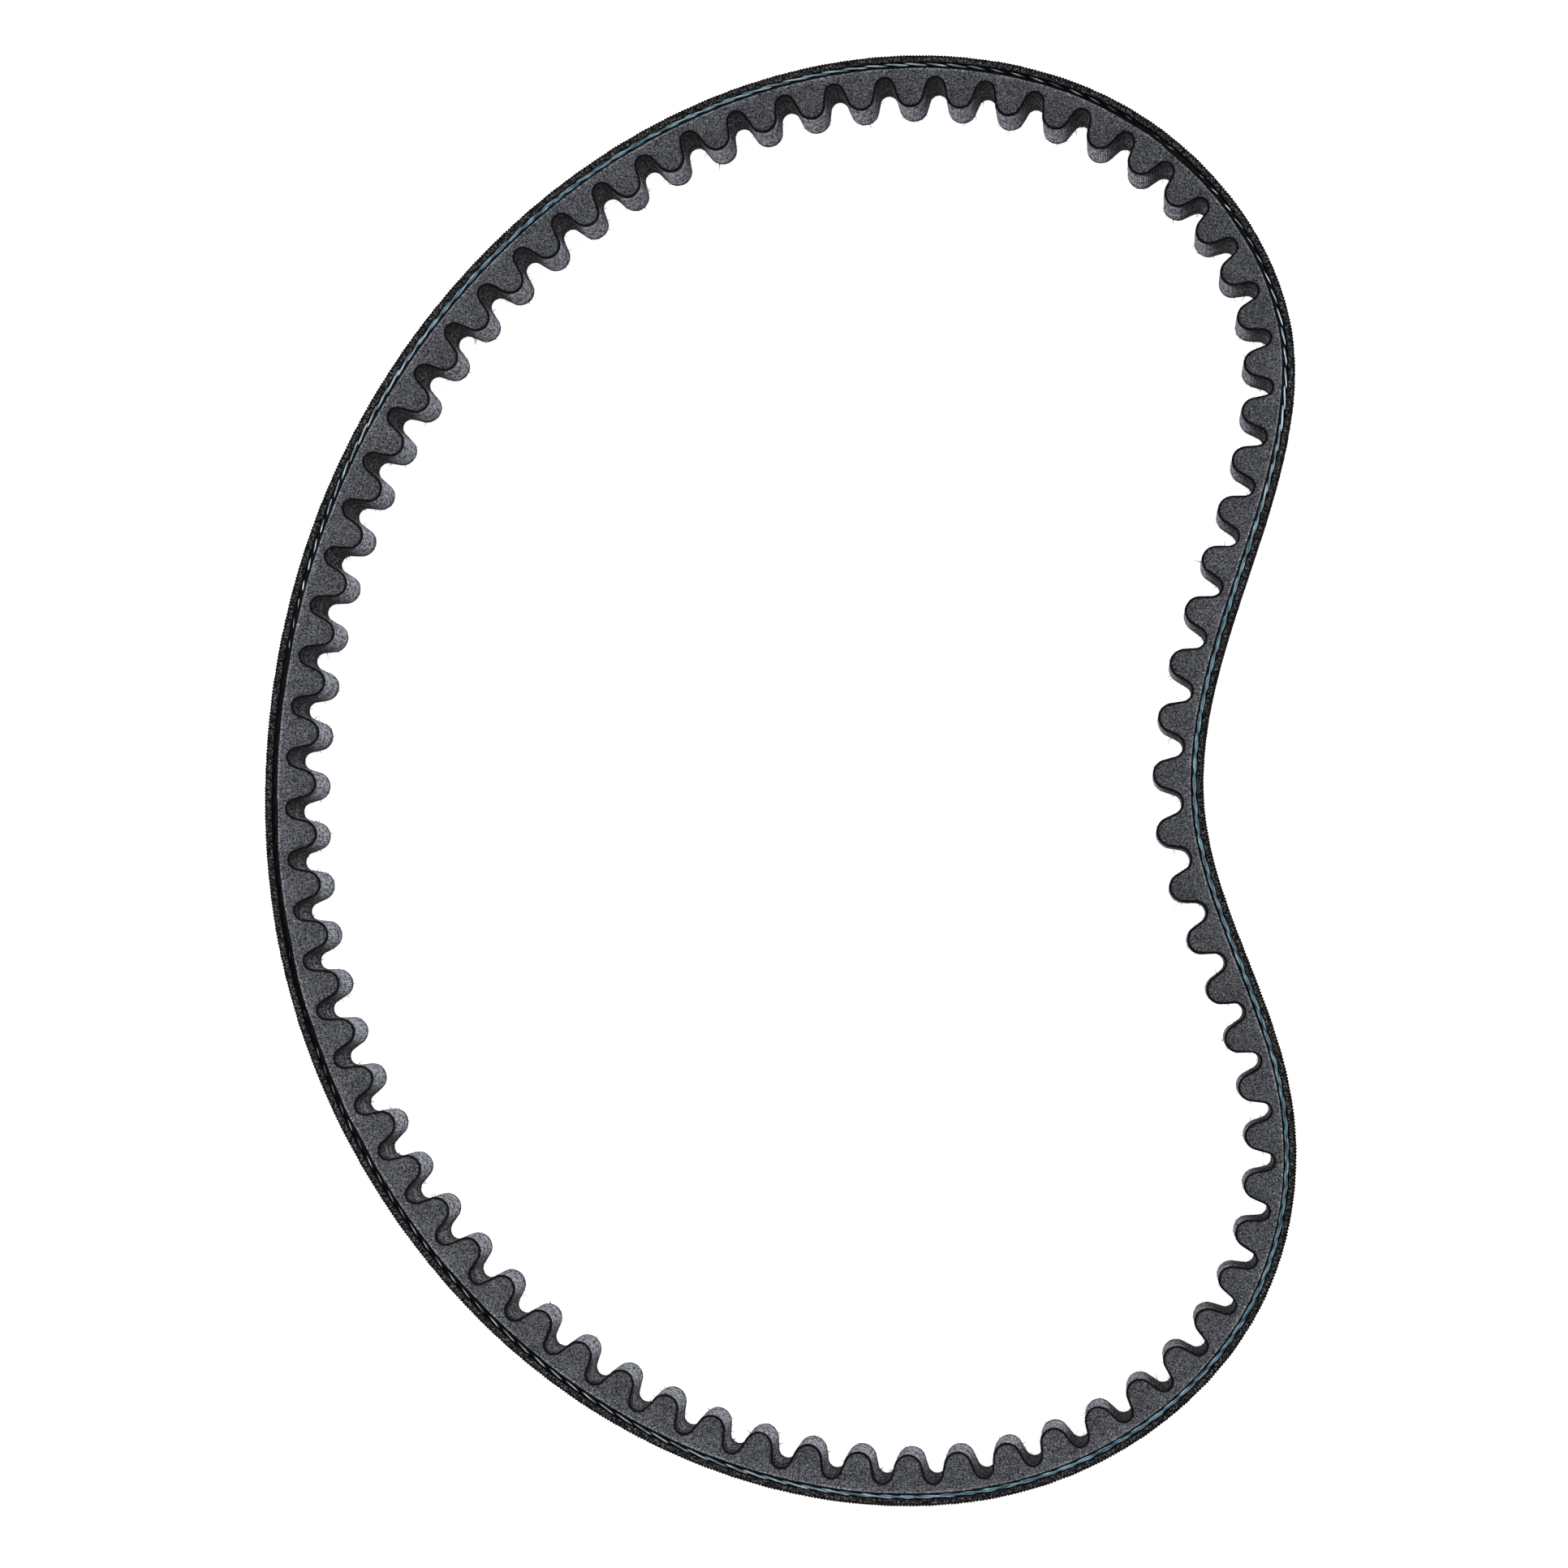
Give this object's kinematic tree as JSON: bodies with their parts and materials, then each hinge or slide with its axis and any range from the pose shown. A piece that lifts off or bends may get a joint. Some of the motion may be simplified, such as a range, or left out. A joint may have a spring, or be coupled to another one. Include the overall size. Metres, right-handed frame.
{
  "type": "cogged v-belt",
  "caption": "Endless raw-edge cogged V-belt lying on one flank in a free bean-shaped loop, with a wound tensile cord, fibre-loaded cogs and a woven tooth facing.",
  "frame": {"origin": "centre of the bounding box in plan, on the flank that the belt lies on", "axes": "+Z across the belt's width from the lower flank to the upper one, +Y along the longest extent of the free loop, +X towards the side of the loop that bends inwards"},
  "size_m": [0.1876, 0.2632, 0.02],
  "materials": {
    "back_cover": "rough granular brown-black rubber",
    "tension_rubber": "brown-black cut rubber with pale specks",
    "upper_cushion": "soft brown-black rubber",
    "lower_cushion": "grey rubber, a little paler than the cogs",
    "tensile_cord": "steel-blue twisted aramid cord",
    "compression_rubber": "charcoal rubber filled with short pale fibres",
    "tooth_fabric": "grey plain weave bonded to the cogs"
  },
  "bodies": {
    "root": {"back_cover": "back_cover", "tension_rubber": "tension_rubber", "upper_cushion": "upper_cushion", "tensile_cord": "tensile_cord", "lower_cushion": "lower_cushion", "compression_rubber": "compression_rubber", "tooth_fabric": "tooth_fabric"}
  },
  "joints": []
}
